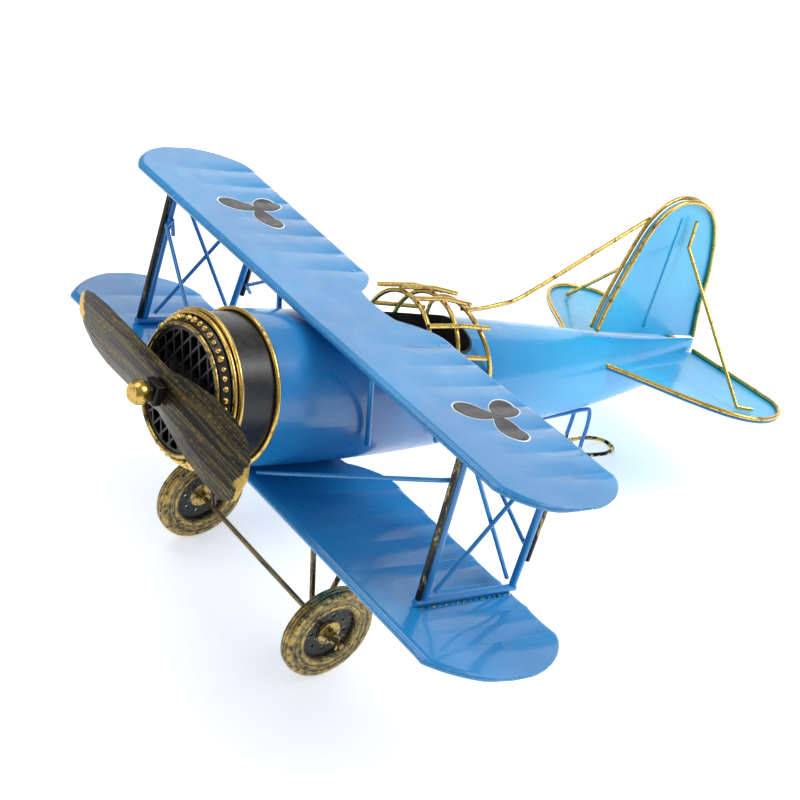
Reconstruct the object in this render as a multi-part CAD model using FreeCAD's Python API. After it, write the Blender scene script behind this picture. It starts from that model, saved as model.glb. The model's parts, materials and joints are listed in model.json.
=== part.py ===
import FreeCAD, Part
import math
import os

# Table-top biplane model of painted sheet metal and bent wire, in millimetres.
# The aircraft is drawn level (x to port, y aft, z up) about the centre of the cowl's front
# ring, then pitched nose-up until its wheels and its tail skid stand on z = 0.
V = FreeCAD.Vector

# ---- driving dimensions -------------------------------------------------------------
sheet = 1.0                    # wing, fin and tail sheet
wire = 2.0                     # trim wire
upper_plan = {
    "front": 41.0,             # leading edge
    "chord": 59.5,             # leading edge to the inner rib ends
    "flare": 0.044,            # trailing edge moves aft by this much per mm of span
    "ribs": [31.6 + 16.1 * i for i in range(7)],
    "tip": 149.6,
    "nose": [(19.6, 0), (6, 11), (0, 28)],       # inward from the tip, aft of the front edge
    "tail": [(0, 28), (4, 48)],
}
lower_plan = {
    "front": 29.6,
    "chord": 70.6,
    "flare": 0.016,
    "ribs": [32.6 + 17.2 * i for i in range(7)],
    "tip": 157.4,
    "nose": [(18.8, 0), (8.6, 10.8), (0, 31)],
    "tail": [(0, 31), (5.2, 56)],
}
scallop = 2.6                  # depth of the trailing edge's hollow between two ribs
notch_depth = 17.0             # cut-out of the trailing edge over the cockpit
upper_z = 36.0
lower_z = -34.0
strut_x = 109.0
strut_feet_y = (49.6, 101.0)
strut_heads_y = (45.4, 100.4)
tube_d = 3.2
rod_d = 2.6
cowl_r = 30.7
cowl_back = 20.3
wheel_r = 22.0
tyre_w = 6.8
wheel_x = 52.2
axle_y = 67.0
axle_z = -91.2
axle_d = 2.4
spin_gap = 0.06                # running clearance of the wheels and the propeller shaft
shaft_d = 4.0
blade_r = 64.8
blade_y = -11.6
skid_y = 267.0               # rearmost point of the skid, on the wire's centre line
skid_z = -46.4
fin_half_gap = 1.6
tail_z = 6.4
tail_tilt = 3.5                # the tailplane is set slightly out of level, port side up
# fuselage stations: y, top z, bottom z, half width
stations = [(21.5, 32.0, -32.0, 32.0), (62.0, 30.6, -33.2, 31.8), (104.0, 28.6, -31.8, 30.2),
            (156.0, 24.8, -27.6, 25.6), (200.0, 20.8, -22.6, 19.6), (233.0, 17.4, -18.6, 14.2),
            (264.0, 15.0, -12.8, 8.6), (284.0, 14.2, -6.6, 4.4), (296.0, 13.8, 2.4, 1.4)]
wall = 1.0
cockpit_front = 84.0
cockpit_back = 133.0
cockpit_half = 17.2
cockpit_floor = 2.0

parts = {}


def rod(points, d):
    """Wire of diameter d through the points, with round elbows and flat ends."""
    solid = None
    for a, b in zip(points[:-1], points[1:]):
        a, b = V(*a), V(*b)
        piece = Part.makeCylinder(d / 2, (b - a).Length, a, b - a)
        solid = piece if solid is None else solid.fuse(piece)
    for p in points[1:-1]:
        solid = solid.fuse(Part.makeSphere(d / 2, V(*p)))
    return solid.removeSplitter() if len(points) > 2 else solid


def mirror(shape):
    return shape.mirror(V(0, 0, 0), V(1, 0, 0))


def pair(name, shape):
    """Port piece and its starboard mirror image, each a node of its own."""
    parts[name + "_left"] = shape
    parts[name + "_right"] = mirror(shape)


def both(name, shape):
    """Two matching pieces, port and starboard, that share one node as separate solids."""
    parts[name] = Part.makeCompound([shape, mirror(shape)])


def ring(major, minor, y):
    return Part.makeTorus(major, minor, V(0, y, 0), V(0, 1, 0))


def shell_y(r_out, r_in, y0, y1):
    outer = Part.makeCylinder(r_out, y1 - y0, V(0, y0, 0), V(0, 1, 0))
    return outer.cut(Part.makeCylinder(r_in, y1 - y0, V(0, y0, 0), V(0, 1, 0)))


def disc_x(r_out, r_in, x0, x1):
    outer = Part.makeCylinder(r_out, x1 - x0, V(x0, axle_y, axle_z), V(1, 0, 0))
    return outer.cut(Part.makeCylinder(r_in, x1 - x0, V(x0, axle_y, axle_z), V(1, 0, 0)))


def arc3(a, b, c):
    return Part.Arc(V(*a), V(*b), V(*c)).toShape()


def line(a, b):
    return Part.LineSegment(V(*a), V(*b)).toShape()


# ---- wings ------------------------------------------------------------------------------
def wing(z, plan):
    """One flat sheet from tip to tip: straight front, round tips, scalloped back, notch."""
    front, ends, tip = plan["front"], plan["ribs"], plan["tip"]

    def back(x):
        return front + plan["chord"] + plan["flare"] * (abs(x) - ends[0])

    nose = tip - plan["nose"][0][0]
    edges = [line((-nose, front, z), (nose, front, z))]
    for s in (1, -1):
        edges.append(arc3(*[(s * (tip - inward), front + aft, z) for inward, aft in plan["nose"]]))
        corner = [(s * (tip - inward), front + aft, z) for inward, aft in plan["tail"]]
        edges.append(arc3(*corner, (s * ends[-1], back(ends[-1]), z)))
        for x0, x1 in zip(ends[:-1], ends[1:]):
            middle = (x0 + x1) / 2
            edges.append(arc3((s * x0, back(x0), z), (s * middle, back(middle) - scallop, z),
                              (s * x1, back(x1), z)))
        edges.append(arc3((s * ends[0], back(ends[0]), z), (s * 20, back(0) - 6, z),
                          (s * 13, back(0) - notch_depth + 2, z)))
    edges.append(arc3((-13, back(0) - notch_depth + 2, z), (0, back(0) - notch_depth, z),
                      (13, back(0) - notch_depth + 2, z)))
    face = Part.Face(Part.Wire(Part.__sortEdges__(edges)))
    plate = face.extrude(V(0, 0, sheet))
    plate.translate(V(0, 0, -sheet / 2))
    return plate


parts["upper_wing"] = wing(upper_z, upper_plan)
parts["lower_wing"] = wing(lower_z, lower_plan)


# ---- struts, braces and rigging wires ----------------------------------------------------
deck = lower_z + sheet / 2 + 0.02              # top of the lower wing
ceiling = upper_z - sheet / 2 - 0.02           # underside of the upper wing
rail_z = deck + tube_d / 2
rail_top = deck + tube_d + 0.05
front_foot = (strut_x, strut_feet_y[0] + 2, rail_top)
front_head = (strut_x - 2.4, strut_heads_y[0] + 2, ceiling)
rear_foot = (strut_x, strut_feet_y[1] - 2, rail_top)
rear_head = (strut_x - 2.4, strut_heads_y[1] - 2, ceiling)
side_by_side = tube_d / 2 + rod_d / 2 + 0.05
rail_ends = ((strut_x, strut_feet_y[0] - 2, rail_z), (strut_x, strut_feet_y[1] - 0.5, rail_z))
both("lower_rails", rod(rail_ends, tube_d))


def clip(shape, low, high):
    """Keep the slice between two heights, so that slanted ends sit flat."""
    box = Part.makeBox(400, 400, high - low, V(-200, -50, low))
    return shape.common(box)


def strut(foot, head, d, dy):
    grow = 4.0
    run = V(*head) - V(*foot)
    run.normalize()
    a = V(*foot) - run * grow + V(0, dy, 0)
    b = V(*head) + run * grow + V(0, dy, 0)
    return clip(rod([tuple(a), tuple(b)], d), foot[2], head[2])


pair("front_strut_tube", strut(front_foot, front_head, tube_d, 0))
pair("front_strut_rod", strut(front_foot, front_head, rod_d, -side_by_side))
pair("rear_strut_tube", strut(rear_foot, rear_head, tube_d, 0))
rear_rod_foot = (strut_x - 0.5, strut_feet_y[1] - 1.9, rail_top + 11)
pair("rear_strut_rod", strut(rear_rod_foot, rear_head, rod_d, side_by_side))

brace_d = 1.8
brace_x = strut_x - 1.2
both("rising_braces", rod([(brace_x + 1.0, strut_feet_y[0] + 6.5, rail_top + 2),
                          (brace_x - 0.4, strut_heads_y[1] - 6.5, ceiling - 3)], brace_d))
both("falling_braces", rod([(brace_x - 0.9, strut_feet_y[1] - 4.4, rail_top + 2),
                           (brace_x - 2.4, strut_heads_y[0] + 6.5, ceiling - 3)], brace_d))
both("flying_wires", rod([(16.0, 34.0, deck + 1.6), (strut_x - 7, 44.0, 20.0),
                         (strut_x - 4.3, 48.3, 21.5), (strut_x - 4.3, 51.0, 14.0)], brace_d))
both("landing_wires", rod([(38.0, 88.0, ceiling - 1.0), (strut_x - 4.4, 99.9, -12.0),
                          (strut_x - 3.6, 104.1, -16.5)], brace_d))
both("front_cabane_struts", clip(rod([(34.4, 70.2, -9.6), (34.4, 55.2, ceiling + 2)], 2.4),
                                -9.5, ceiling))
both("rear_cabane_struts", clip(rod([(32.0, 111.0, -12.6), (32.0, 93.0, ceiling + 2)], 2.4),
                                -12.5, ceiling))


# ---- fuselage -----------------------------------------------------------------------------
def ellipse(y, top, bottom, half):
    """Closed section across the fuselage."""
    high = (top - bottom) / 2
    middle = V(0, y, (top + bottom) / 2)
    points = [middle + V(half * math.cos(a), 0, high * math.sin(a))
              for a in [math.radians(15 * i) for i in range(24)]]
    curve = Part.BSplineCurve()
    curve.interpolate(points, PeriodicFlag=True)
    return Part.Wire(curve.toShape())


body_solid = Part.makeLoft([ellipse(*s) for s in stations], True, False)
hollow_stations = [(y, top - wall, bottom + wall, half - wall) for y, top, bottom, half in stations[:7]]
hollow = Part.makeLoft([ellipse(*s) for s in hollow_stations], True, False)


def footprint(inset):
    """Rounded prism that outlines the cockpit opening."""
    x = cockpit_half - inset
    y0 = cockpit_front + inset
    y1 = cockpit_back - inset
    block = Part.makeBox(2 * x, y1 - y0, 60, V(-x, y0, cockpit_floor))
    uprights = [e for e in block.Edges if abs(e.BoundBox.ZLength - 60) < 0.01]
    return block.makeFillet(9 - inset, uprights)


opening = footprint(0.0)
parts["fuselage_shell"] = body_solid.cut(hollow).cut(opening)
liner_out = footprint(0.1).common(body_solid)
liner_in = footprint(1.1)
liner_in.translate(V(0, 0, 1.0))
parts["cockpit_liner"] = liner_out.cut(liner_in)

# ---- nose: cowl, rings, studded band, grille ------------------------------------------------
parts["engine_cowl"] = shell_y(cowl_r, cowl_r - 1.2, 1.6, 27.0)
ring_r = wire / 2
parts["cowl_rear_ring"] = ring(cowl_r + ring_r + 0.03, ring_r, cowl_back)
parts["cowl_front_ring"] = ring(cowl_r + ring_r + 0.03, ring_r, 2.7)
parts["cowl_second_ring"] = ring(cowl_r - 0.1, ring_r, 0.5)
parts["grille_ring"] = ring(26.2, ring_r, -4.8)
band_profile = Part.makePolygon([V(27.4, -3.9, 0), V(29.4, -0.7, 0), V(28.4, -0.7, 0),
                                 V(26.5, -3.4, 0), V(27.4, -3.9, 0)])
band = Part.Face(band_profile).revolve(V(0, 0, 0), V(0, 1, 0), 360)
parts["cowl_band"] = band
stud_r = 1.15
stud_count = 40
stud_at = V(28.4 + 0.86 * (stud_r + 0.05), 0, 0) + V(0, -2.55 - 0.51 * (stud_r + 0.05), 0)
studs = []
for i in range(stud_count):
    turn = 2 * math.pi * i / stud_count
    centre = V(stud_at.x * math.cos(turn), stud_at.y, stud_at.x * math.sin(turn))
    studs.append(Part.makeSphere(stud_r, centre))
parts["cowl_studs"] = Part.makeCompound(studs)

mesh_r = 25.1
mesh_t = 0.8
mesh_y = -4.4
mesh_pitch = 6.6               # width of one diamond
mesh_rise = 11.0               # height of one diamond
strand = 1.1
disc = Part.makeCylinder(mesh_r, mesh_t, V(0, mesh_y, 0), V(0, 1, 0))
inner_disc = Part.makeCylinder(mesh_r - 1.2, mesh_t, V(0, mesh_y, 0), V(0, 1, 0))
bush_seat = Part.makeCylinder(5.2, mesh_t, V(0, mesh_y, 0), V(0, 1, 0))
holes = []
for row in range(-5, 6):
    for col in range(-5, 6):
        cx = (col + 0.5 * (row % 2)) * mesh_pitch
        cz = row * mesh_rise / 2
        w = mesh_pitch / 2 - strand / 2
        h = mesh_rise / 2 - strand / 2 * mesh_rise / mesh_pitch
        diamond = Part.makePolygon([V(cx - w, mesh_y, cz), V(cx, mesh_y, cz + h),
                                    V(cx + w, mesh_y, cz), V(cx, mesh_y, cz - h),
                                    V(cx - w, mesh_y, cz)])
        holes.append(Part.Face(diamond).extrude(V(0, mesh_t, 0)))
openings = Part.makeCompound(holes).common(inner_disc).cut(bush_seat)
parts["grille_mesh"] = disc.cut(openings).cut(
    Part.makeCylinder(3.5, 4, V(0, mesh_y - 1, 0), V(0, 1, 0)))

# ---- propeller and its shaft ------------------------------------------------------------------
bush_bore = shaft_d / 2 + spin_gap
bush = shell_y(3.45, bush_bore, -6.0, 8.0)
bush = bush.fuse(shell_y(5.0, 3.3, -5.6, mesh_y - 0.02))
parts["shaft_bush"] = bush.removeSplitter()
spider = Part.makeBox(2 * (cowl_r - 1.25), 1.5, 8.0, V(-(cowl_r - 1.25), 4.0, -4.0))
spider = spider.common(Part.makeCylinder(cowl_r - 1.25, 10, V(0, 0, 0), V(0, 1, 0)))
parts["shaft_crossbar"] = spider.cut(Part.makeCylinder(3.5, 10, V(0, 0, 0), V(0, 1, 0)))


def blade_section(x, pitch_deg, up, down, thick, forward):
    """Cambered section of the propeller at x: up and down are its reach from the centre line."""
    outline = [(-down, 0.0), (-0.55 * down, thick), (0.0, 1.25 * thick), (0.55 * up, thick),
               (up, 0.0), (0.5 * up, -0.25 * thick), (-0.5 * down, -0.25 * thick)]
    c, s = math.cos(math.radians(pitch_deg)), math.sin(math.radians(pitch_deg))
    points = []
    for along, out in outline:
        points.append(V(x, blade_y - forward + along * s - out * c, along * c + out * s))
    return Part.makePolygon(points + points[:1])


# radius, pitch angle, reach up, reach down, thickness, forward lean
blade_rows = [(0.0, 0.0, 9.5, 9.5, 2.0, 0.0), (12.0, 8.0, 12.0, 11.0, 1.8, 0.0),
              (28.0, 13.0, 14.0, 13.0, 1.5, 0.5), (44.0, 14.0, 14.0, 14.0, 1.3, 1.2),
              (55.0, 14.0, 11.5, 13.5, 1.1, 1.8), (61.5, 14.0, 7.0, 11.5, 0.9, 2.2),
              (blade_r, 14.0, 1.5, 8.0, 0.7, 2.4)]
sections = []
for r, angle, up, down, thick, lean in reversed(blade_rows[1:]):
    sections.append(blade_section(-r, -angle, down, up, thick, lean))
for r, angle, up, down, thick, lean in blade_rows:
    sections.append(blade_section(r, angle, up, down, thick, lean))
propeller = Part.makeLoft(sections, True, True)
bore = Part.makeCylinder(shaft_d / 2 + 0.01, 40, V(0, -30, 0), V(0, 1, 0))
parts["propeller"] = propeller.cut(bore)
hub_back = blade_y + 0.6
parts["propeller_spacer"] = shell_y(4.0, shaft_d / 2 + 0.01, hub_back + 0.6, -6.1)
boss_front = blade_y - 2.6
boss = Part.makeBox(9.0, 4.4, 9.0, V(-4.5, boss_front - 4.4, -4.5))
boss = boss.makeFillet(1.0, boss.Edges)
parts["propeller_boss"] = boss.cut(bore)
parts["lock_washer"] = shell_y(3.6, shaft_d / 2 + 0.01, boss_front - 5.9, boss_front - 4.45)
nut_back = boss_front - 5.95
nut = Part.makeSphere(5.1, V(0, nut_back - 3.0, 0))
nut = nut.common(Part.makeCylinder(6, 6.6, V(0, nut_back - 6.6, 0), V(0, 1, 0)))
parts["acorn_nut"] = nut.cut(Part.makeCylinder(shaft_d / 2 + 0.01, 4.1, V(0, nut_back - 4.0, 0), V(0, 1, 0)))
shaft = Part.makeCylinder(shaft_d / 2, 12.0 - (nut_back - 3.9), V(0, nut_back - 3.9, 0), V(0, 1, 0))
parts["propeller_shaft"] = shaft
parts["shaft_collar"] = shell_y(3.4, shaft_d / 2 + 0.01, 8.1, 11.0)

# ---- cockpit cage --------------------------------------------------------------------------------
cage_d = 2.1


def hoop(y, z, radius, lean):
    """Round hoop over the cockpit, leaning forward by some degrees, its feet on the fuselage."""
    tilt = math.radians(lean)
    circle = Part.makeTorus(radius, cage_d / 2, V(0, y, z), V(0, math.cos(tilt), math.sin(tilt)))
    return circle.cut(body_solid)


parts["front_hoop"] = hoop(100.0, 17.8, 22.6, 0.0)
parts["middle_hoop"] = hoop(116.0, 17.2, 22.4, 0.0)
parts["rear_hoop"] = hoop(137.6, 14.6, 23.4, 21.0)
both("cage_top_rails", rod([(5.0, 97.0, 42.3), (5.0, 116.0, 41.6), (5.0, 130.5, 38.6)], cage_d))
both("cage_side_rails", rod([(18.2, 97.0, 36.4), (18.0, 117.0, 36.0), (16.6, 134.0, 33.4)], cage_d))
both("cage_sills", rod([(23.2, 102.5, 24.6), (22.6, 132.5, 22.0)], cage_d))

# ---- fin, tailplane and their wire rims -----------------------------------------------------------
fin_path = [(221.8, 20.4), (223.5, 39.0), (229.5, 68.0), (235.0, 79.5), (241.5, 85.5), (250.0, 88.2),
            (261.5, 86.6), (271.5, 79.5), (279.0, 67.0), (285.0, 49.0), (287.5, 34.0), (293.0, 15.5)]
fin_face = Part.Face(Part.makePolygon([V(0, y, z) for y, z in fin_path + fin_path[:1]]))
fin_sheet = fin_face.extrude(V(2.2, 0, 0))
fin_sheet.translate(V(-1.1, 0, 0))
parts["fin"] = fin_sheet.cut(body_solid)
rim_x = 1.1 + wire / 2 + 0.03
both("fin_rims", rod([(rim_x, y, z + 0.6) for y, z in fin_path], wire).cut(body_solid))
parts["antenna_wire"] = rod([(0, 131.5, 33.9), (0, 140.0, 33.4), (0, 154.0, 35.6), (0, 166.0, 39.4),
                             (0, 229.0, 79.0)], wire).cut(body_solid)

tail_outline = [(1.0, 222.0), (12.0, 223.0), (30.0, 234.0), (50.0, 245.5), (64.0, 256.0), (71.0, 266.5),
                (72.4, 277.0), (68.5, 288.0), (60.5, 294.4), (50.0, 296.0), (3.2, 296.0)]
tail_face = Part.Face(Part.makePolygon([V(x, y, tail_z) for x, y in tail_outline + tail_outline[:1]]))


def tilted(shape):
    turned = shape.copy()
    turned.rotate(V(0, 0, tail_z), V(0, 1, 0), -tail_tilt)
    return turned


tail_port = tail_face.extrude(V(0, 0, sheet))
rim_line = [(x, y, tail_z + sheet + wire / 2 + 0.03) for x, y in tail_outline[1:]]
rim_port = rod(rim_line, wire)
for side, sheet_part, rim_part in (("left", tail_port, rim_port),
                                   ("right", mirror(tail_port), mirror(rim_port))):
    parts["tailplane_" + side] = tilted(sheet_part).cut(body_solid)
    parts["tailplane_rim_" + side] = tilted(rim_part).cut(body_solid)


def fin_stay(side):
    """Wire from the top of the fin down to the tailplane, with a short foot along the sheet."""
    rise = math.sin(math.radians(tail_tilt)) * 60 * side
    foot_z = tail_z + sheet + 1.6 + rise
    return rod([(side * 4.2, 257.0, 80.0), (side * 4.2, 259.0, 66.0), (side * 60.0, 266.0, foot_z),
                (side * 64.0, 273.0, foot_z + 0.4)], 1.8)


parts["fin_stays"] = Part.makeCompound([fin_stay(1), fin_stay(-1)])

# ---- landing gear and tail skid -------------------------------------------------------------------
parts["axle"] = rod([(-wheel_x - 11.0, axle_y, axle_z), (wheel_x + 11.0, axle_y, axle_z)], axle_d)
leg_x = 40.6
under = lower_z - sheet / 2 - 0.02
leg_foot = axle_z + axle_d / 2 + 1.2


def leg(top_y, x, shift):
    shape = rod([(x + shift, axle_y + 1.0 * math.copysign(1, top_y - axle_y), leg_foot),
                 (x, top_y, under + 2)], 2.4)
    return clip(shape, axle_z - 5, under)


both("front_legs", leg(47.0, leg_x, 0.0))
both("rear_legs", leg(82.0, leg_x, 3.0))
skid_top = [(5.0, 200.0, -24.4), (5.0, 232.0, -20.6), (5.0, 236.0, -22.6), (5.2, 239.0, skid_z + 2.6),
            (6.6, 244.0, skid_z), (7.4, 256.0, skid_z), (4.6, skid_y - 2.2, skid_z),
            (0.0, skid_y, skid_z)]
skid_wire = skid_top + [(-x, y, z) for x, y, z in reversed(skid_top[:-1])]
parts["tail_skid"] = rod(skid_wire, wire).cut(body_solid)


def wheel(side):
    """Tyre with three grooves round a dished disc with small holes."""
    x0 = wheel_x - tyre_w / 2
    x1 = wheel_x + tyre_w / 2
    tyre = disc_x(wheel_r, 12.6, x0, x1)
    tyre = tyre.makeFillet(1.6, [e for e in tyre.Edges if e.Length > 2 * math.pi * wheel_r - 1
                                 and e.BoundBox.XLength < 0.01])
    for groove in (-1.7, 0.0, 1.7):
        tyre = tyre.cut(disc_x(wheel_r + 1, wheel_r - 0.5, wheel_x + groove - 0.25, wheel_x + groove + 0.25))
    plate = disc_x(12.58, axle_d / 2 + spin_gap, wheel_x - 0.6, wheel_x + 0.6)
    for i in range(8):
        turn = 2 * math.pi * i / 8
        hole = Part.makeCylinder(0.9, 4, V(wheel_x - 2, axle_y + 8.6 * math.cos(turn),
                                           axle_z + 8.6 * math.sin(turn)), V(1, 0, 0))
        plate = plate.cut(hole)
    hub = disc_x(2.4, axle_d / 2 + spin_gap, wheel_x - 4.2, wheel_x + 6.0)
    dome = disc_x(5.6, 2.3, wheel_x + 0.6, wheel_x + 1.6)
    plate = plate.fuse(hub).fuse(dome).removeSplitter()
    if side < 0:
        return mirror(tyre), mirror(plate)
    return tyre, plate


for side, tag in ((1, "left"), (-1, "right")):
    tyre, plate = wheel(side)
    parts["tyre_" + tag] = tyre
    parts["wheel_disc_" + tag] = plate


def pins(d):
    """A pin through each end of the axle, outside the wheel."""
    x = wheel_x + 8.2
    pin = rod([(x, axle_y, axle_z - 3.6), (x, axle_y, axle_z + 3.6)], d)
    return Part.makeCompound([pin, mirror(pin)])


parts["split_pins"] = pins(0.9)
parts["axle"] = parts["axle"].cut(pins(0.94))

# ---- welded wires end flush against what they are welded to ------------------------------------------
def weld(names, onto):
    """Trim each named wire where it runs into a piece that it is welded to."""
    for name in names:
        for other in onto:
            parts[name] = parts[name].cut(parts[other])


weld(["cage_top_rails", "cage_side_rails", "cage_sills"], ["front_hoop", "middle_hoop", "rear_hoop"])
weld(["cage_sills"], ["fuselage_shell"])
weld(["rising_braces"], ["falling_braces"])
weld(["flying_wires"], ["front_strut_tube_left", "front_strut_tube_right"])

# ---- stand it on its wheels and skid ----------------------------------------------------------------
reach = math.hypot(skid_y - axle_y, skid_z - axle_z)
drop = wheel_r - wire / 2
pitch = math.degrees(math.atan2(skid_z - axle_z, skid_y - axle_y) + math.asin(drop / reach))
axle_height = axle_z * math.cos(math.radians(pitch)) - axle_y * math.sin(math.radians(pitch))
for name in parts:
    parts[name].rotate(V(0, 0, 0), V(1, 0, 0), -pitch)
ends = Part.makeCompound([parts["acorn_nut"], parts["fuselage_shell"], parts["tailplane_rim_left"],
                          parts["tailplane_rim_right"]]).optimalBoundingBox(True, False)
shift = V(0, -(ends.YMin + ends.YMax) / 2, wheel_r - axle_height)
for name in parts:
    parts[name].translate(shift)

os.makedirs("parts", exist_ok=True)
for name, shape in sorted(parts.items()):
    shape.exportStep("parts/" + name + ".step")
print("pitch", round(pitch, 3), "shift", tuple(round(c, 3) for c in shift), "nodes", len(parts))
print("skid lowest", round(parts["tail_skid"].BoundBox.ZMin, 3))
groups = [n for n, s in parts.items() if s.ShapeType == "Compound" and len(s.Solids) > 1]
print("groups", [(n, len(parts[n].Solids)) for n in groups])
for name, shape in sorted(parts.items()):
    if not shape.isValid() or (len(shape.Solids) != 1 and name not in groups):
        print("look at", name, shape.isValid(), len(shape.Solids))
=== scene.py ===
"""Looks, light and camera of a sheet-metal biplane model with antique brass wire trim."""
import json
import math

import bmesh
import bpy
from mathutils import Matrix, Vector, noise


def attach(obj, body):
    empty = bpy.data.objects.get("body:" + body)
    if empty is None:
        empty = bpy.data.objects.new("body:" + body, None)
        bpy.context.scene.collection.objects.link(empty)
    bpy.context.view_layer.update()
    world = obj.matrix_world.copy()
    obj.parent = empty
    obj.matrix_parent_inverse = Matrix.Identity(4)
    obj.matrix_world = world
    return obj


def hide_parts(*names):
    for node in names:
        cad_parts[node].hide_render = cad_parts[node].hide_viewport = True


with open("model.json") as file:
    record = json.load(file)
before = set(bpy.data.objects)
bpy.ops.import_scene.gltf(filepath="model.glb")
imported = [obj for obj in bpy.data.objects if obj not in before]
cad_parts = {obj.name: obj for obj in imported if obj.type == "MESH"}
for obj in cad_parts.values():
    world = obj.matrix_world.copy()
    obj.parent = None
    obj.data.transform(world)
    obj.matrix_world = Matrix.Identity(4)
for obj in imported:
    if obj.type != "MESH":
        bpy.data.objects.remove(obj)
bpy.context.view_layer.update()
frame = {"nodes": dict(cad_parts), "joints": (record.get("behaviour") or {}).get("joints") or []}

# ---- the model's own frame: x to port, y aft along the propeller shaft, z up, in millimetres
MM = 0.001
spin = next(j for j in frame["joints"] if j["name"] == "propeller_spin")
ship_origin = Vector(spin["pos_m"])
ship_x = Vector((1, 0, 0))
ship_y = Vector(spin["axis"]).normalized()
ship_z = ship_x.cross(ship_y)
ship_axes = Matrix((ship_x, ship_y, ship_z)).transposed()


def ship(x, y, z):
    """A place in the model's own frame, in millimetres, as a point of the scene."""
    return ship_origin + ship_axes @ (Vector((x, y, z)) * MM)


def smooth(t):
    """An even rise from 0 to 1 that starts and ends level."""
    t = min(max(t, 0.0), 1.0)
    return t * t * (3 - 2 * t)


# ---- materials ---------------------------------------------------------------------------
class Shader:
    """A node material on one Principled shader, with short calls for the usual nodes."""

    def __init__(self, name, **sockets):
        self.material = bpy.data.materials.new(name)
        self.material.use_nodes = True
        self.tree = self.material.node_tree
        self.bsdf = self.tree.nodes["Principled BSDF"]
        for key, value in sockets.items():
            self.bsdf.inputs[key.replace("_", " ")].default_value = value
        self.place = self.tree.nodes.new("ShaderNodeTexCoord").outputs["Object"]

    def put(self, socket, value):
        if hasattr(value, "is_linked"):
            self.tree.links.new(value, socket)
        else:
            socket.default_value = value

    def stretched(self, scale):
        node = self.tree.nodes.new("ShaderNodeMapping")
        node.inputs["Scale"].default_value = scale
        self.tree.links.new(self.place, node.inputs["Vector"])
        return node.outputs["Vector"]

    def noise(self, scale, detail=3.0, rough=0.55, place=None, warp=0.0):
        node = self.tree.nodes.new("ShaderNodeTexNoise")
        node.inputs["Scale"].default_value = scale
        node.inputs["Detail"].default_value = detail
        node.inputs["Roughness"].default_value = rough
        node.inputs["Distortion"].default_value = warp
        self.tree.links.new(place or self.place, node.inputs["Vector"])
        return node.outputs["Fac"]

    def math(self, kind, a, b=0.0):
        node = self.tree.nodes.new("ShaderNodeMath")
        node.operation = kind
        self.put(node.inputs[0], a)
        self.put(node.inputs[1], b)
        return node.outputs[0]

    def remap(self, value, low, high, to_low=0.0, to_high=1.0):
        node = self.tree.nodes.new("ShaderNodeMapRange")
        node.interpolation_type = "SMOOTHSTEP"
        for key, number in (("From Min", low), ("From Max", high), ("To Min", to_low),
                            ("To Max", to_high)):
            node.inputs[key].default_value = number
        self.put(node.inputs["Value"], value)
        return node.outputs["Result"]

    def mix(self, factor, a, b):
        node = self.tree.nodes.new("ShaderNodeMix")
        node.data_type = "RGBA"
        self.put(node.inputs["Factor"], factor)
        for socket, colour in ((node.inputs["A"], a), (node.inputs["B"], b)):
            self.put(socket, colour if hasattr(colour, "is_linked") else (*colour, 1.0))
        return node.outputs["Result"]

    def attribute(self, name):
        node = self.tree.nodes.new("ShaderNodeAttribute")
        node.attribute_name = name
        return node.outputs["Fac"]

    def axis(self, place, name):
        node = self.tree.nodes.new("ShaderNodeSeparateXYZ")
        self.tree.links.new(place, node.inputs[0])
        return node.outputs[name]

    def from_axle(self, centre):
        """The place from an axle along X, and the distance from its line."""
        shift = self.tree.nodes.new("ShaderNodeVectorMath")
        shift.operation = "SUBTRACT"
        self.tree.links.new(self.place, shift.inputs[0])
        shift.inputs[1].default_value = centre
        x, y, z = (self.axis(shift.outputs[0], name) for name in "XYZ")
        far = self.math("SQRT", self.math("ADD", self.math("MULTIPLY", y, y),
                                          self.math("MULTIPLY", z, z)))
        return x, y, z, far

    def round_about(self, centre, turns, across):
        """Coordinates that change slowly round an axle along X and fast outward and across."""
        x, y, z, far = self.from_axle(centre)
        join = self.tree.nodes.new("ShaderNodeCombineXYZ")
        self.put(join.inputs[0], self.math("MULTIPLY", self.math("DIVIDE", y, far), turns))
        self.put(join.inputs[1], self.math("MULTIPLY", self.math("DIVIDE", z, far), turns))
        self.put(join.inputs[2], self.math("MULTIPLY", self.math("ADD", far, x), across))
        return join.outputs[0]

    def bump(self, height, strength, distance, under=None):
        node = self.tree.nodes.new("ShaderNodeBump")
        node.inputs["Strength"].default_value = strength
        node.inputs["Distance"].default_value = distance
        self.put(node.inputs["Height"], height)
        if under is not None:
            self.put(node.inputs["Normal"], under)
        return node.outputs["Normal"]

    def set(self, **sockets):
        for key, value in sockets.items():
            self.put(self.bsdf.inputs[key.replace("_", " ")], value)
        return self.material


WORN = (0.80, 0.88, 0.95)
BLACK = (0.006, 0.0055, 0.005)
SOOT = (0.022, 0.021, 0.021)
PATINA = (0.030, 0.022, 0.012)
BRASS = (0.52, 0.37, 0.12)
OLIVE = (0.120, 0.098, 0.045)
GOLD = (0.80, 0.55, 0.15)
DULL_GOLD = (0.62, 0.41, 0.10)
RUBBED = (0.26, 0.20, 0.085)
LEG_BRASS = (0.34, 0.24, 0.10)
STRUT_BRASS = (0.50, 0.38, 0.14)
DULL_STEEL = (0.55, 0.53, 0.50)
fade_from_y, fade_to_y = -0.03, 0.09          # the fuselage's colour lightens between these: painted light toward the tail, partly a lighter paint there
dome_edge_r = (0.0062, 0.0056)                # edge of the raised dome on a wheel's disc
tip_rub_x = (0.0668, 0.0684)                  # where the rubbed end of a blade starts, with noise
skid_paint_z = (0.0165, 0.0185)               # the skid is blue above this, with noise


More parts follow.
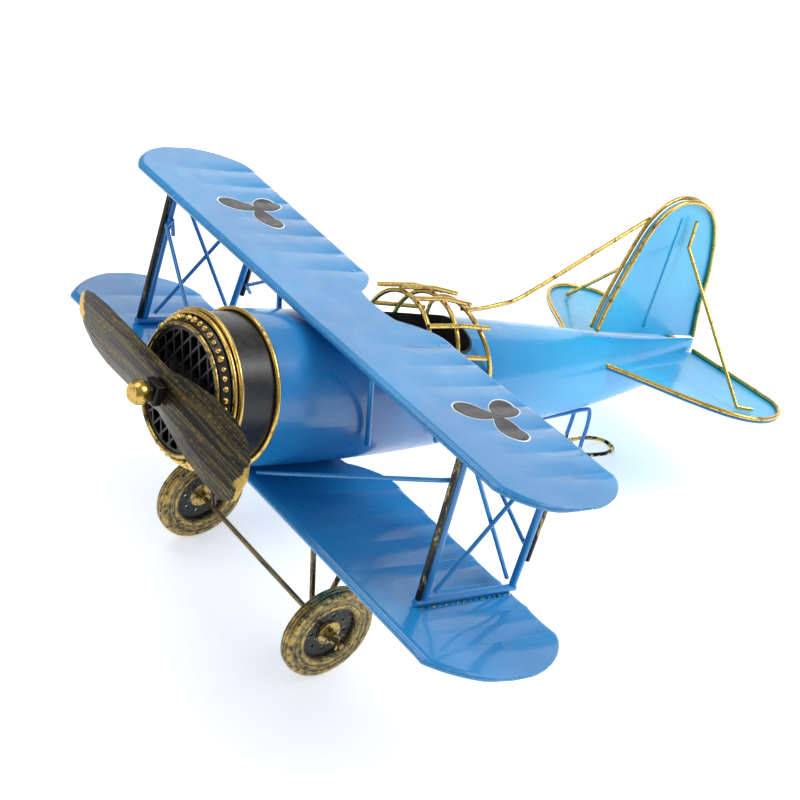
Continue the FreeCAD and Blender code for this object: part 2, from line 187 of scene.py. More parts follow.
def paint(name, deep, light, aft=None):
    """Glossy enamel on sheet metal: uneven film, faint waves, chips along edges.

    With aft, the colour shifts toward that colour behind the cockpit: painted light on the rear, partly a
    lighter paint there.
    """
    s = Shader(name, Coat_Weight=0.55, Coat_Roughness=0.10, IOR=1.5)
    cloud = s.noise(16.0, 2.0)
    film = s.noise(110.0, 4.0, 0.6)
    colour = s.mix(s.remap(cloud, 0.35, 0.65), deep, light)
    colour = s.mix(s.remap(film, 0.35, 0.75, 0.0, 0.16), colour, light)
    # painted light: the rear of the fuselage is mixed toward a lighter blue, partly its own lighter paint
    if aft:
        behind = s.remap(s.axis(s.place, "Y"), fade_from_y, fade_to_y)
        colour = s.mix(behind, colour, aft)
    chips = s.math("MULTIPLY", s.attribute("edge"), s.remap(s.noise(700.0, 5.0, 0.7), 0.54, 0.62))
    specks = s.remap(s.noise(900.0, 2.0, 0.4), 0.80, 0.83, 0.0, 0.25)
    worn = s.math("MAXIMUM", chips, specks)
    colour = s.mix(worn, colour, WORN)
    waves = s.bump(s.noise(38.0, 2.0), 0.35, 0.0012)
    peel = s.bump(s.noise(900.0, 2.0), 0.12, 0.0002, waves)
    return s.set(Base_Color=colour, Roughness=s.remap(film, 0.3, 0.7, 0.26, 0.40), Normal=peel)


def antique_wire(name, gold=GOLD, dark_from=0.50, dark_to=0.74, scale=230.0):
    """Gold-coloured wire with a blackened patina left in patches."""
    s = Shader(name)
    patch = s.remap(s.noise(scale, 5.0, 0.65, warp=0.4), dark_from, dark_to)
    rub = s.noise(900.0, 3.0)
    colour = s.mix(s.remap(rub, 0.35, 0.75, 0.0, 0.6), gold, BRASS)
    colour = s.mix(patch, colour, PATINA)
    rough = s.math("ADD", s.remap(rub, 0.3, 0.7, 0.20, 0.34), s.math("MULTIPLY", patch, 0.22))
    normal = s.bump(rub, 0.25, 0.00015)
    metal = s.remap(patch, 0.0, 1.0, 1.0, 0.35)
    return s.set(Base_Color=colour, Metallic=metal, Roughness=rough, Normal=normal)


def dry_brush(name, stretch, amount, bright=OLIVE, fine=1.0, extra=None, wheel_at=None):
    """Black with brass dragged over it in streaks along one direction or round a wheel."""
    s = Shader(name)
    along = s.round_about(wheel_at, *stretch) if wheel_at else s.stretched(stretch)
    streak = s.noise(1.0, 5.0, 0.62, along, 0.25)
    grain = s.noise(700.0 * fine, 3.0, 0.6)
    mask = s.remap(s.math("ADD", streak, s.math("MULTIPLY", grain, 0.16)), amount, amount + 0.17)
    rubbed = extra(s) if extra else 0.0
    mask = s.math("MAXIMUM", mask, rubbed)
    colour = s.mix(mask, BLACK, s.mix(rubbed, bright, GOLD))
    colour = s.mix(s.math("MULTIPLY", mask, s.remap(grain, 0.5, 0.8, 0.0, 0.6)), colour, BRASS)
    rough = s.remap(mask, 0.0, 1.0, 0.30, 0.38)
    return s.set(Base_Color=colour, Metallic=s.remap(mask, 0.0, 1.0, 0.25, 0.85), Roughness=rough,
                 Normal=s.bump(streak, 0.30, 0.0004))


def black_enamel(name, rough=0.34, shade=BLACK):
    """Satin black paint with a slightly uneven film."""
    s = Shader(name, Coat_Weight=0.25, Coat_Roughness=0.22)
    film = s.noise(240.0, 4.0, 0.6)
    colour = s.mix(s.remap(film, 0.35, 0.8, 0.0, 0.5), shade, SOOT)
    waves = s.bump(s.noise(45.0, 2.0), 0.3, 0.001)
    return s.set(Base_Color=colour, Roughness=s.remap(film, 0.3, 0.7, rough - 0.05, rough + 0.08),
                 Normal=s.bump(film, 0.12, 0.0002, waves))


def hub_dome(place):
    """Brass rubbed bright on the raised middle of a wheel's disc."""
    def mask(s):
        far = s.from_axle(place)[3]
        worn = s.remap(s.noise(420.0, 4.0, 0.6), 0.40, 0.52, 0.25, 0.85)
        return s.math("MULTIPLY", worn, s.remap(far, *dome_edge_r))
    return mask


def blade_tips(s):
    """Bright brass where the hand rubs the blade's ends."""
    span = s.math("ABSOLUTE", s.axis(s.place, "X"))
    ragged = s.math("ADD", span, s.math("MULTIPLY", s.noise(130.0, 3.0), 0.012))
    return s.remap(ragged, *tip_rub_x, 0.0, 0.9)


def skid_finish(name):
    """Blue where the wire joins the fuselage, blackened and rubbed to gold where it drags."""
    s = Shader(name)
    height = s.math("ADD", s.axis(s.place, "Z"), s.math("MULTIPLY", s.noise(160.0, 3.0), 0.008))
    painted = s.remap(height, *skid_paint_z)
    rubbed = s.remap(s.noise(230.0, 4.0, 0.6), 0.46, 0.56)
    metal = s.mix(rubbed, BLACK, GOLD)
    colour = s.mix(painted, metal, (0.018, 0.20, 0.56))
    return s.set(Base_Color=colour, Roughness=s.remap(rubbed, 0.0, 1.0, 0.34, 0.26),
                 Metallic=s.remap(painted, 0.0, 1.0, 0.8, 0.0))


def raised(s):
    """Brass on the raised lines that the edge attribute marks, broken up by the brush."""
    broken = s.remap(s.noise(330.0, 5.0, 0.65), 0.36, 0.56)
    return s.math("MULTIPLY", s.math("MULTIPLY", s.attribute("edge"), broken), 0.72)


wheel_hubs = {j["child"]: Vector(j["pos_m"]) for j in frame["joints"] if "wheel" in j["name"]}
blue = paint("blue_enamel", (0.008, 0.205, 0.51), (0.014, 0.268, 0.61))
# the fuselage's blue is darker than the wings' as painted shade under the upper wing, and lightens aft as
# painted light
blue_body_shade_and_light = paint("blue_enamel_body_shade_and_light", (0.006, 0.165, 0.44), (0.010, 0.215, 0.53), (0.020, 0.42, 0.82))
# the tail's blue is lighter than the wings': partly its own lighter cyan, partly painted light on the rear
blue_tail_tone_and_light = paint("blue_enamel_tail_tone_and_light", (0.035, 0.42, 0.78), (0.060, 0.53, 0.88))
blue_tube = paint("blue_enamel_tube", (0.010, 0.19, 0.50), (0.016, 0.26, 0.62))
gold_wire = antique_wire("antique_gold_wire")
dark_wire = antique_wire("antique_dark_wire", BRASS, 0.42, 0.58, 160.0)
nut_gold = antique_wire("antique_nut_gold", DULL_GOLD, 0.54, 0.66, 600.0)
blade = dry_brush("brushed_blade", (20.0, 850.0, 850.0), 0.52, extra=blade_tips)
wheel_finish = {}
for hub, place in wheel_hubs.items():
    wheel_finish[hub] = (
        dry_brush("brushed_tyre_" + hub, (5.0, 1500.0), 0.50, RUBBED, 1.3, raised, place),
        dry_brush("brushed_disc_" + hub, (9.0, 500.0), 0.62, RUBBED, 1.3, hub_dome(place), place))
axle = dry_brush("brushed_axle", (40.0, 500.0, 500.0), 0.46, LEG_BRASS)
leg = dry_brush("brushed_leg", (500.0, 500.0, 40.0), 0.50, LEG_BRASS)
strut = dry_brush("brushed_strut", (520.0, 520.0, 26.0), 0.62, STRUT_BRASS)
boss = dry_brush("blackened_boss", (90.0, 90.0, 90.0), 0.68)
satin = black_enamel("satin_black")
grille_black = black_enamel("grille_black", 0.5)
cabin = black_enamel("cabin_black", 0.6, (0.008, 0.008, 0.008))
steel = antique_wire("bare_steel", DULL_STEEL, 0.62, 0.75, 300.0)

finishes = [
    (blue_body_shade_and_light, "fuselage_shell"),
    (blue_tail_tone_and_light, "fin tailplane_left tailplane_right"),
    (blue_tube, "lower_rails front_strut_tube_left front_strut_tube_right rear_strut_tube_left "
                "rear_strut_tube_right rising_braces falling_braces landing_wires flying_wires "
                "front_cabane_struts rear_cabane_struts tail_skid"),
    (satin, "engine_cowl shaft_crossbar"),
    (cabin, "cockpit_liner"),
    (grille_black, "cowl_band grille_mesh"),
    (gold_wire, "cowl_studs cowl_front_ring cowl_second_ring cowl_rear_ring front_hoop middle_hoop "
                "rear_hoop cage_top_rails cage_side_rails cage_sills antenna_wire fin_rims fin_stays "
                "tailplane_rim_left tailplane_rim_right"),
    (dark_wire, "grille_ring split_pins"),
    (nut_gold, "acorn_nut"),
    (blade, "propeller"),
    (boss, "propeller_boss lock_washer propeller_spacer shaft_bush"),
    (steel, "propeller_shaft shaft_collar"),
    (axle, "axle"),
    (leg, "front_legs rear_legs"),
    (strut, "front_strut_rod_left front_strut_rod_right rear_strut_rod_left rear_strut_rod_right"),
    (wheel_finish["wheel_left"][0], "tyre_left"),
    (wheel_finish["wheel_right"][0], "tyre_right"),
    (wheel_finish["wheel_left"][1], "wheel_disc_left"),
    (wheel_finish["wheel_right"][1], "wheel_disc_right"),
]
for material, nodes in finishes:
    for node in nodes.split():
        target = frame["nodes"][node]
        if not target.material_slots:
            target.data.materials.append(material)
        for holder in target.material_slots:
            holder.material = material


# ---- mesh helpers ------------------------------------------------------------------------
def piece(name, verts, faces, material, body="root", edge=None, shade=True):
    """A mesh piece from points in the model's own frame, riding on a body."""
    mesh = bpy.data.meshes.new(name)
    mesh.from_pydata([ship(*v) for v in verts], [], faces)
    if edge is not None:
        layer = mesh.attributes.new("edge", "FLOAT", "POINT")
        layer.data.foreach_set("value", edge)
    mesh.validate()
    mesh.polygons.foreach_set("use_smooth", [shade] * len(mesh.polygons))
    mesh.materials.append(material)
    obj = bpy.data.objects.new(name, mesh)
    bpy.context.scene.collection.objects.link(obj)
    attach(obj, body)
    return obj


def apply_modifiers(obj):
    """Turns an object's modifiers into its mesh."""
    graph = bpy.context.evaluated_depsgraph_get()
    mesh = bpy.data.meshes.new_from_object(obj.evaluated_get(graph))
    obj.modifiers.clear()
    obj.data = mesh


def tube(points, radius, verts, faces, around=14, taper=0):
    """Adds a round rod along the points to the lists of a mesh; taper rings thin at each end."""
    start = len(verts)
    path = [Vector(p) for p in points]
    side = None
    for i, point in enumerate(path):
        ahead = (path[min(i + 1, len(path) - 1)] - path[max(i - 1, 0)]).normalized()
        if side is None:
            side = ahead.orthogonal().normalized()
        side = (side - ahead * side.dot(ahead)).normalized()
        other = ahead.cross(side)
        from_end = min(i, len(path) - 1 - i)
        r = radius * (0.3 + 0.7 * smooth(from_end / taper)) if taper else radius
        for k in range(around):
            a = 2 * math.pi * k / around
            verts.append(tuple(point + (side * math.cos(a) + other * math.sin(a)) * r))
    for i in range(len(path) - 1):
        for k in range(around):
            n = (k + 1) % around
            row = start + i * around
            faces.append((row + k, row + n, row + around + n, row + around + k))
    last = start + (len(path) - 1) * around
    faces.append(tuple(start + k for k in reversed(range(around))))
    faces.append(tuple(last + k for k in range(around)))


# ---- wings: scalloped sheet with pressed ribs and a rolled front edge --------------------
upper_plan = {
    "front": 41.0, "chord": 59.5, "flare": 0.044, "ribs": [31.6 + 16.1 * i for i in range(7)],
    "tip": 149.6, "nose": [(19.6, 0), (6, 11), (0, 28)], "tail": [(0, 28), (4, 48)],
}
lower_plan = {
    "front": 29.6, "chord": 70.6, "flare": 0.016, "ribs": [32.6 + 17.2 * i for i in range(7)],
    "tip": 157.4, "nose": [(18.8, 0), (8.6, 10.8), (0, 31)], "tail": [(0, 31), (5.2, 56)],
}
scallop = 2.6
notch_depth = 17.0
sheet = 1.0
roll_r = 1.35


def through(a, b, c):
    """Centre and radius of the circle through three points of the plane."""
    (ax, ay), (bx, by), (cx, cy) = a, b, c
    d = 2 * (ax * (by - cy) + bx * (cy - ay) + cx * (ay - by))
    sa, sb, sc = ax * ax + ay * ay, bx * bx + by * by, cx * cx + cy * cy
    x = (sa * (by - cy) + sb * (cy - ay) + sc * (ay - by)) / d
    y = (sa * (cx - bx) + sb * (ax - cx) + sc * (bx - ax)) / d
    return x, y, math.hypot(ax - x, ay - y)


class Wing:
    """Plan and pressed relief of one wing; the relief is the same on top and underneath."""

    def __init__(self, z, plan, rib_drop, rib_start):
        self.z = z
        self.front = plan["front"]
        self.chord = plan["chord"]
        self.flare = plan["flare"]
        self.tip = plan["tip"]
        self.ends = plan["ribs"]
        self.rib_drop = rib_drop
        self.rib_start = rib_start
        front_rim = [(self.tip - inward, self.front + aft) for inward, aft in plan["nose"]]
        self.nose, self.turn = front_rim[0][0], front_rim[-1][1]
        self.nose_arc = through(*front_rim)
        rear_rim = [(self.tip - inward, self.front + aft) for inward, aft in plan["tail"]]
        self.tail_arc = through(*rear_rim, (self.ends[-1], self.line(self.ends[-1])))
        self.notch_arc = through((self.ends[0], self.line(self.ends[0])), (20, self.line(0) - 6),
                                 (13, self.line(0) - notch_depth + 2))
        self.flat_arc = through((-13, self.line(0) - notch_depth + 2), (0, self.line(0) - notch_depth),
                                (13, self.line(0) - notch_depth + 2))

    def line(self, x):
        return self.front + self.chord + self.flare * (abs(x) - self.ends[0])

    def on_arc(self, arc, x, sign):
        cx, cy, r = arc
        return cy + sign * math.sqrt(max(r * r - (x - cx) ** 2, 0.0))

    def lead(self, x):
        x = min(abs(x), self.tip)
        return self.front if x < self.nose else self.on_arc(self.nose_arc, x, -1)

    def trail(self, x):
        x = min(abs(x), self.tip)
        if x > self.ends[-1]:
            return self.on_arc(self.tail_arc, x, 1)
        if x < 13:
            return self.on_arc(self.flat_arc, x, 1 if self.flat_arc[1] < self.front + self.chord / 2 else -1)
        if x < self.ends[0]:
            return self.on_arc(self.notch_arc, x, 1 if self.notch_arc[1] < self.line(0) - 6 else -1)
        for a, b in zip(self.ends[:-1], self.ends[1:]):
            if x <= b:
                middle = (a + b) / 2
                arc = through((a, self.line(a)), (middle, self.line(middle) - scallop),
                              (b, self.line(b)))
                return self.on_arc(arc, x, -1)
        return self.line(x)

    def relief(self, x, y):
        """How far the sheet dips: a crease runs forward from every rib end."""
        ends = self.ends
        ax = abs(x)
        if ax < ends[0]:
            dip = max(0.0, 1 - (ends[0] - ax) / 9.0) ** 2
        elif ax > ends[-1]:
            dip = max(0.0, 1 - (ax - ends[-1]) / 9.0) ** 2
        else:
            bay = (ends[1] - ends[0]) / 2
            phase = ((ax - ends[0]) / bay) % 2.0
            dip = abs(phase - 1.0) ** 1.7
        along = (y - self.lead(x)) / self.chord
        strength = smooth((along - self.rib_start) / (0.96 - self.rib_start))
        hand = noise.noise(Vector((x * 0.03, y * 0.04, self.z))) * 0.45
        hand *= smooth(along * 3.0)
        return -self.rib_drop * dip * strength * (1 + 0.5 * hand) + hand * 0.6

    def columns(self):
        """Span stations: even over the ribs, closer together where the tip turns."""
        xs = [self.nose * i / 176 for i in range(176)]
        turn = 30
        xs += [self.nose + (self.tip - self.nose - 0.05) * math.sin(math.pi / 2 * i / turn)
               for i in range(turn + 1)]
        xs += self.ends
        xs = sorted(set(round(x, 3) for x in xs))
        return [-x for x in reversed(xs[1:])] + xs

    def top(self, x, y):
        return self.z + sheet / 2 + self.relief(x, y)

    def build(self, name, node):
        """Top and under side of the sheet with the rolled edge, in place of its CAD node."""
        rows = 30
        xs = self.columns()
        verts, faces, edge = [], [], []
        count = len(xs)
        for level in (sheet / 2, -sheet / 2):
            for x in xs:
                lead, trail = self.lead(x), self.trail(x)
                first = min(lead + roll_r * 0.8, (lead + trail) / 2)
                for k in range(rows + 1):
                    y = first + (trail - first) * (1 - (1 - k / rows) ** 1.3)
                    rim = min(trail - y, self.tip - abs(x))
                    round_off = 0.35 * max(0.0, 1 - rim / 0.5) ** 2 * (1 if level > 0 else -1)
                    verts.append((x, y, self.z + level + self.relief(x, y) - round_off))
                    edge.append(max(0.0, 1 - rim / 0.8) * 0.9)
        size = count * (rows + 1)
        for i in range(count - 1):
            for k in range(rows):
                a = i * (rows + 1) + k
                b = a + rows + 1
                faces.append((a, a + 1, b + 1, b)[::-1])
                faces.append((size + a, size + b, size + b + 1, size + a + 1)[::-1])
            a = i * (rows + 1)
            b = a + rows + 1
            faces.append((a + rows, b + rows, size + b + rows, size + a + rows))
            faces.append((a, size + a, size + b, b))
        for k in range(rows):
            faces.append((k, k + 1, size + k + 1, size + k))
            a = (count - 1) * (rows + 1) + k
            faces.append((a, size + a, size + a + 1, a + 1))
        self.roll(verts, faces)
        edge += [0.10] * (len(verts) - len(edge))
        made = piece(name, verts, faces, blue, edge=edge)
        made.modifiers.new("weld", "WELD").merge_threshold = 0.00001
        apply_modifiers(made)
        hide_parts(node)
        return made

    def roll(self, verts, faces):
        """The rolled edge along the front and round both tips."""
        path = []
        steps = 40
        cx, cy, r = self.nose_arc
        start = math.atan2(self.front - cy, self.nose - cx)
        stop = math.atan2(self.turn - cy, self.tip - cx)
        for i in range(steps + 1):
            a = start + (stop - start) * i / steps
            path.append((cx + (r - roll_r) * math.cos(a), cy + (r - roll_r) * math.sin(a)))
        middle = [(self.nose * (1 - 2 * i / 60), self.front + roll_r) for i in range(1, 60)]
        run = path[::-1] + middle + [(-x, y) for x, y in path]
        level = self.z + sheet / 2 - roll_r
        points = [(x, y, level + self.relief(x, y)) for x, y in run]
        tube(points, roll_r, verts, faces, 18, 14)


upper = Wing(36.0, upper_plan, 1.35, 0.18)
lower = Wing(-34.0, lower_plan, 1.25, 0.0)
upper.build("upper_wing_skin", "upper_wing")
lower.build("lower_wing_skin", "lower_wing")


# ---- emblems: a plain three-bladed airscrew silhouette on each half of the upper wing -----
charcoal = black_enamel("charcoal_print", 0.45, (0.040, 0.042, 0.048))
white_print = paint("white_print", (0.72, 0.75, 0.78), (0.82, 0.85, 0.88))
emblem_r = 18.5
emblem_line = 0.75
emblem_lift = 0.10
emblem_depth = 0.2


def emblem(name, cx, cy, inner, outer, material):
    """A thin print between two distances from the silhouette's own edge."""
    verts, faces = [], []
    around, rings = 180, 14

    def reach(a):
        return 3.8 + (emblem_r - 3.8) * abs(math.cos(1.5 * a)) ** 1.5

    for level in (emblem_lift, -emblem_depth):
        for k in range(around):
            a = 2 * math.pi * k / around
            for i in range(rings + 1):
                r0 = reach(a) + inner if inner is not None else 0.05
                r = r0 + (reach(a) + outer - r0) * i / rings
                x = cx + r * math.cos(a)
                y = cy + r * math.sin(a)
                verts.append((x, y, upper.top(x, y) + level))
    size = around * (rings + 1)
    for k in range(around):
        a = k * (rings + 1)
        b = ((k + 1) % around) * (rings + 1)
        for i in range(rings):
            faces.append((a + i, a + i + 1, b + i + 1, b + i))
            faces.append((size + a + i, size + b + i, size + b + i + 1, size + a + i + 1))
        faces.append((a + rings, size + a + rings, size + b + rings, b + rings))
        faces.append((a, b, size + b, size + a))
    piece(name, verts, faces, material)


for label, side in (("left", 1), ("right", -1)):
    emblem("emblem_" + label, side * 87.0, 78.0, None, -emblem_line, charcoal)
    emblem("emblem_outline_" + label, side * 87.0, 78.0, -emblem_line, 0.0, white_print)


# ---- bent wire and sheet of the tail, smooth where the wire is smooth ---------------------
def curve(points, steps=7):
    """A smooth run through all the points."""
    out = []
    path = [Vector(p) for p in points]
    path = [path[0] * 2 - path[1]] + path + [path[-1] * 2 - path[-2]]
    for i in range(1, len(path) - 2):
        a, b, c, d = path[i - 1:i + 3]
        for k in range(steps):
            t = k / steps
            out.append((b * 2 + (c - a) * t + (a * 2 - b * 5 + c * 4 - d) * t * t
                        + (b * 3 - a - c * 3 + d) * t ** 3) * 0.5)
    out.append(path[-2])
    return [tuple(p) for p in out]


def wires(name, runs, radius, material, nodes, steps=7):
    """One piece of smooth round wire for each run of points."""
    verts, faces = [], []
    for run in runs:
        tube(curve(run, steps), radius, verts, faces, 16)
    made = piece(name, verts, faces, material)
    if nodes:
        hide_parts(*nodes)
    return made


def plate(name, outline, place, thick, material, nodes):
    """A flat sheet with a softened edge; place turns (u, v, depth) into the model's frame."""
    shape = bmesh.new()
    ring = [shape.verts.new(place(u, v, thick / 2)) for u, v in outline]
    under_ring = [shape.verts.new(place(u, v, -thick / 2)) for u, v in outline]
    count = len(ring)
    shape.faces.new(ring)
    shape.faces.new(under_ring[::-1])
    for i in range(count):
        n = (i + 1) % count
        shape.faces.new((ring[i], under_ring[i], under_ring[n], ring[n]))
    bmesh.ops.recalc_face_normals(shape, faces=shape.faces)
    verts = [tuple(v.co) for v in shape.verts]
    shape.verts.index_update()
    faces = [tuple(v.index for v in f.verts) for f in shape.faces]
    shape.free()
    made = piece(name, verts, faces, material, shade=False)
    soften = made.modifiers.new("soften", "BEVEL")
    soften.width = 0.3 * MM
    soften.segments = 3
    soften.limit_method = "ANGLE"
    apply_modifiers(made)
    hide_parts(*nodes)


wire_r = 1.0
fin_path = [(221.8, 20.4), (223.5, 39.0), (229.5, 68.0), (235.0, 79.5), (241.5, 85.5), (250.0, 88.2),
            (261.5, 86.6), (271.5, 79.5), (279.0, 67.0), (285.0, 49.0), (287.5, 34.0), (293.0, 15.5)]
fin_line = [(0.0, y, z) for y, z in fin_path]
plate("fin_skin", [(p[1], p[2]) for p in curve(fin_line)], lambda u, v, d: (d, u, v), 2.2,
      blue_tail_tone_and_light, ["fin"])
rim_inset = 0.4
wires("fin_rim_wires", [[(side * 2.13, y - rim_inset, z + 0.6) for y, z in fin_path] for side in (1, -1)],
      wire_r, gold_wire, ["fin_rims"])
wires("fin_ridges", [[(side * 1.1, 254.0, 22.0), (side * 1.15, 252.2, 50.0), (side * 1.1, 250.0, 80.0)]
                     for side in (1, -1)], 0.75, blue_tail_tone_and_light, [])
wires("antenna_bent_wire", [[(0, 131.5, 33.9), (0, 140.0, 33.4), (0, 154.0, 35.6), (0, 166.0, 39.4),
                             (0, 197.0, 58.8), (0, 229.0, 79.0)]], wire_r, gold_wire,
      ["antenna_wire"])

tail_z = 6.4
tail_tilt = math.radians(3.5)
tail_outline = [(1.0, 222.0), (12.0, 223.0), (30.0, 234.0), (50.0, 245.5), (64.0, 256.0),
                (71.0, 266.5), (72.4, 277.0), (68.5, 288.0), (60.5, 294.4), (50.0, 295.6),
                (28.0, 295.8), (3.2, 295.8)]


def tail_place(x, y, z):
    """Turns a point of the level tailplane to its slight tilt, port side up."""
    rise = z - tail_z
    return (x * math.cos(tail_tilt) - rise * math.sin(tail_tilt), y,
            tail_z + x * math.sin(tail_tilt) + rise * math.cos(tail_tilt))


for label, side in (("left", 1), ("right", -1)):
    line = [(side * x, y, 0.0) for x, y in tail_outline]
    plate("tailplane_skin_" + label, [(p[0], p[1]) for p in curve(line)],
          lambda u, v, d: tail_place(u, v, tail_z + 0.5 + d), 1.0, blue_tail_tone_and_light,
          ["tailplane_" + label])
    rim = [tail_place(side * x, y, tail_z + 2.03) for x, y in tail_outline[1:]]
    wires("tailplane_rim_wire_" + label, [rim], wire_r, gold_wire,
          ["tailplane_rim_" + label])
    edge_line = [tail_place(side * x, y, tail_z + 0.5) for x, y in tail_outline[1:]]
    wires("tailplane_edge_" + label, [edge_line], 0.72, blue_tube, [])

skid_z = -46.4
skid_side = [(5.0, 200.0, -24.4), (5.0, 216.0, -22.5), (5.0, 232.0, -20.6), (5.0, 236.0, -22.6),
             (5.2, 238.2, -31.0), (5.4, 239.6, -43.8), (6.6, 244.0, skid_z), (7.4, 256.0, skid_z),
             (4.6, 264.8, skid_z), (0.0, 267.0, skid_z)]
skid_run = skid_side + [(-x, y, z) for x, y, z in reversed(skid_side[:-1])]
wires("tail_skid_wire", [skid_run], wire_r, skid_finish("skid_wire"),
      ["tail_skid"], 6)


# ---- tyres: grooved tread, rounded shoulders and a raised rim ring on each side -------------
tyre_r = 22.0
wheel_x = 52.2
axle_y = 67.0
axle_z = -91.2
tyre_profile = [  # across the tyre from its middle, radius, and how much the brass is rubbed on it
    (0.25, 21.45, 0.0), (0.45, 22.0, 0.9), (1.30, 22.0, 0.9), (1.50, 21.45, 0.0), (1.85, 21.45, 0.0),
    (2.00, 21.85, 0.9), (2.60, 21.5, 1.0), (3.10, 20.8, 1.0), (3.35, 19.9, 0.9), (3.40, 18.9, 0.6),
    (3.15, 18.5, 0.1), (3.10, 17.9, 0.3), (3.25, 17.2, 0.7), (3.25, 16.4, 0.6), (3.00, 16.0, 0.1),
    (3.05, 15.6, 0.3), (3.40, 15.2, 1.0), (3.40, 14.3, 1.0), (2.90, 13.6, 0.6), (2.30, 12.9, 0.2),
    (1.50, 12.65, 0.0),
]


def tyre(name, hub, node):
    """One tyre turned round its axle, a little uneven as hand-cast rubber is."""
    side = 1 if wheel_hubs[hub].x > 0 else -1
    profile = tyre_profile + [(-x, r, b) for x, r, b in reversed(tyre_profile)]
    around = 128
    verts, faces, rubbed = [], [], []
    for k in range(around):
        turn = 2 * math.pi * k / around
        for x, r, b in profile:
            wobble = 0.10 * noise.noise(Vector((3 * math.cos(turn), 3 * math.sin(turn), x * 0.4)))
            far = min(r + wobble, tyre_r)
            verts.append((side * wheel_x + x * side, axle_y + far * math.cos(turn),
                          axle_z + far * math.sin(turn)))
            rubbed.append(b)
    count = len(profile)
    for k in range(around):
        for i in range(count):
            a, b = k * count + i, ((k + 1) % around) * count + i
            n, m = k * count + (i + 1) % count, ((k + 1) % around) * count + (i + 1) % count
            faces.append((a, b, m, n) if side > 0 else (a, n, m, b))
    made = piece(name, verts, faces, wheel_finish[hub][0], hub, rubbed)
    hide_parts(node)


for hand in ("left", "right"):
    tyre("tyre_rubbed_" + hand, "wheel_" + hand, "tyre_" + hand)


# ---- gold links in the groove behind the grille ---------------------------------------------
def lumps(name, places, radius, squash, material, nodes):
    """Small uneven rounded lumps joined in one piece."""
    verts, faces = [], []
    for index, place in enumerate(places):
        ball = bmesh.new()
        bmesh.ops.create_icosphere(ball, subdivisions=3, radius=1.0)
        ball.verts.index_update()
        start = len(verts)
        size = radius * (1 + 0.35 * noise.noise(Vector((index * 2.3, 1.7, 0.4))))
        for vert in ball.verts:
            n = noise.noise(vert.co * 1.2 + Vector((index * 3.1, 0, 0)))
            local = vert.co * size * (1 + 0.22 * n)
            verts.append((place[0] + local.x, place[1] + local.y, place[2] + local.z * squash))
        faces += [tuple(start + v.index for v in f.verts) for f in ball.faces]
        ball.free()
    made = piece(name, verts, faces, material)
    if nodes:
        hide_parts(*nodes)


link_count = 46
link_ring_r = 28.75
link_ring_y = -2.6
links = []
for i in range(link_count):
    turn = 2 * math.pi * (i + 0.18 * noise.noise(Vector((i * 1.9, 0, 5)))) / link_count
    links.append((link_ring_r * math.cos(turn), link_ring_y, link_ring_r * math.sin(turn)))
lumps("cowl_links", links, 1.25, 1.0, gold_wire, ["cowl_studs"])


# ---- weld beads beside the lower rails -----------------------------------------------------
strut_x = 109.0
rail_side = strut_x + 1.9
weld_places = []
for side in (1, -1):
    for i in range(16):
        y = 50.0 + 3.1 * i + 1.2 * noise.noise(Vector((i * 1.7, side, 0)))
        weld_places.append((side * (rail_side + 0.2), y, lower.top(rail_side, y) + 0.1))
lumps("weld_beads", weld_places, 0.62, 0.6, dark_wire, [])


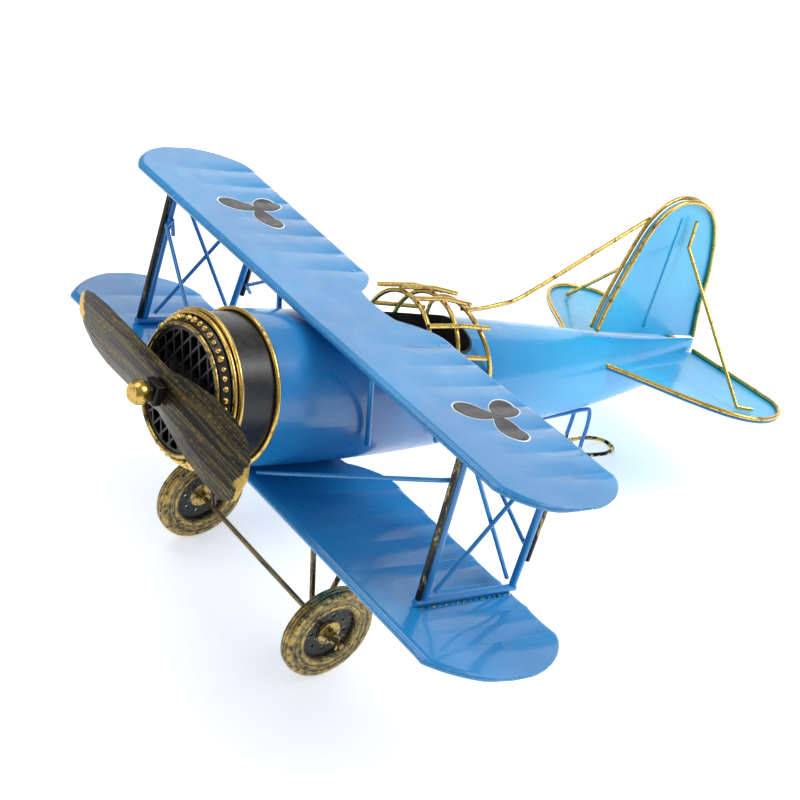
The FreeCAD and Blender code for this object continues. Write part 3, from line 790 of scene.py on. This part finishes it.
# ---- floor, light and camera ---------------------------------------------------------------
floor_half = 4.0
floor_mesh = bpy.data.meshes.new("floor")
floor_mesh.from_pydata([(-floor_half, -floor_half, 0), (floor_half, -floor_half, 0),
                        (floor_half, floor_half, 0), (-floor_half, floor_half, 0)], [],
                       [(0, 1, 2, 3)])
floor = bpy.data.objects.new("floor", floor_mesh)
bpy.context.scene.collection.objects.link(floor)
floor_shader = Shader("floor_white", Roughness=0.85, Specular_IOR_Level=0.2)
floor_tone = floor_shader.mix(floor_shader.noise(3.0), (0.93, 0.93, 0.935), (0.95, 0.95, 0.95))
floor_glow = 0.48
floor_mesh.materials.append(floor_shader.set(Base_Color=floor_tone, Emission_Color=(1, 1, 1, 1),
                                             Emission_Strength=floor_glow))

studio_strength = 0.36
world = bpy.data.worlds.new("studio")
world.use_nodes = True
world.node_tree.nodes["Background"].inputs["Color"].default_value = (1.0, 1.0, 1.0, 1.0)
world.node_tree.nodes["Background"].inputs["Strength"].default_value = studio_strength
bpy.context.scene.world = world
bpy.context.scene.view_settings.view_transform = "Standard"


def softbox(name, place, width, height, power, aim=(0.0, 0.0, 0.08)):
    """A rectangular area light at a place, turned to a point on the plane."""
    light = bpy.data.lights.new(name, "AREA")
    light.shape = "RECTANGLE"
    light.size = width
    light.size_y = height
    light.energy = power
    obj = bpy.data.objects.new(name, light)
    obj.location = place
    obj.rotation_euler = (Vector(aim) - Vector(place)).to_track_quat("-Z", "Y").to_euler()
    bpy.context.scene.collection.objects.link(obj)


softbox("key_light", (0.75, 0.85, 1.25), 0.8, 0.8, 16.0)
softbox("top_light", (-0.45, -0.1, 1.4), 0.9, 0.9, 6.5)
softbox("wing_panel", (-1.35, 1.60, 0.55), 2.0, 0.9, 5.5)
softbox("front_light", (-0.35, -1.35, 0.8), 0.7, 0.7, 2.5)

camera_angles = (43.97, 25.07, 19.93)
camera_place = (514.56, -418.44, 335.06)
focal_length = 84.14
azimuth, elevation, roll = (math.radians(a) for a in camera_angles)
back = Vector((math.sin(azimuth) * math.cos(elevation), -math.cos(azimuth) * math.cos(elevation),
               math.sin(elevation)))
right = (-back).cross(Vector((0, 0, 1))).normalized()
above = right.cross(-back)
turned_right = math.cos(roll) * right + math.sin(roll) * above
turned_above = -math.sin(roll) * right + math.cos(roll) * above
camera_data = bpy.data.cameras.new("camera")
camera_data.sensor_width = 36.0
camera_data.lens = focal_length
camera = bpy.data.objects.new("camera", camera_data)
bpy.context.scene.collection.objects.link(camera)
pose = ship_axes @ Matrix((turned_right, turned_above, back)).transposed()
camera.matrix_world = Matrix.Translation(ship(*camera_place)) @ pose.to_4x4()
bpy.context.scene.camera = camera
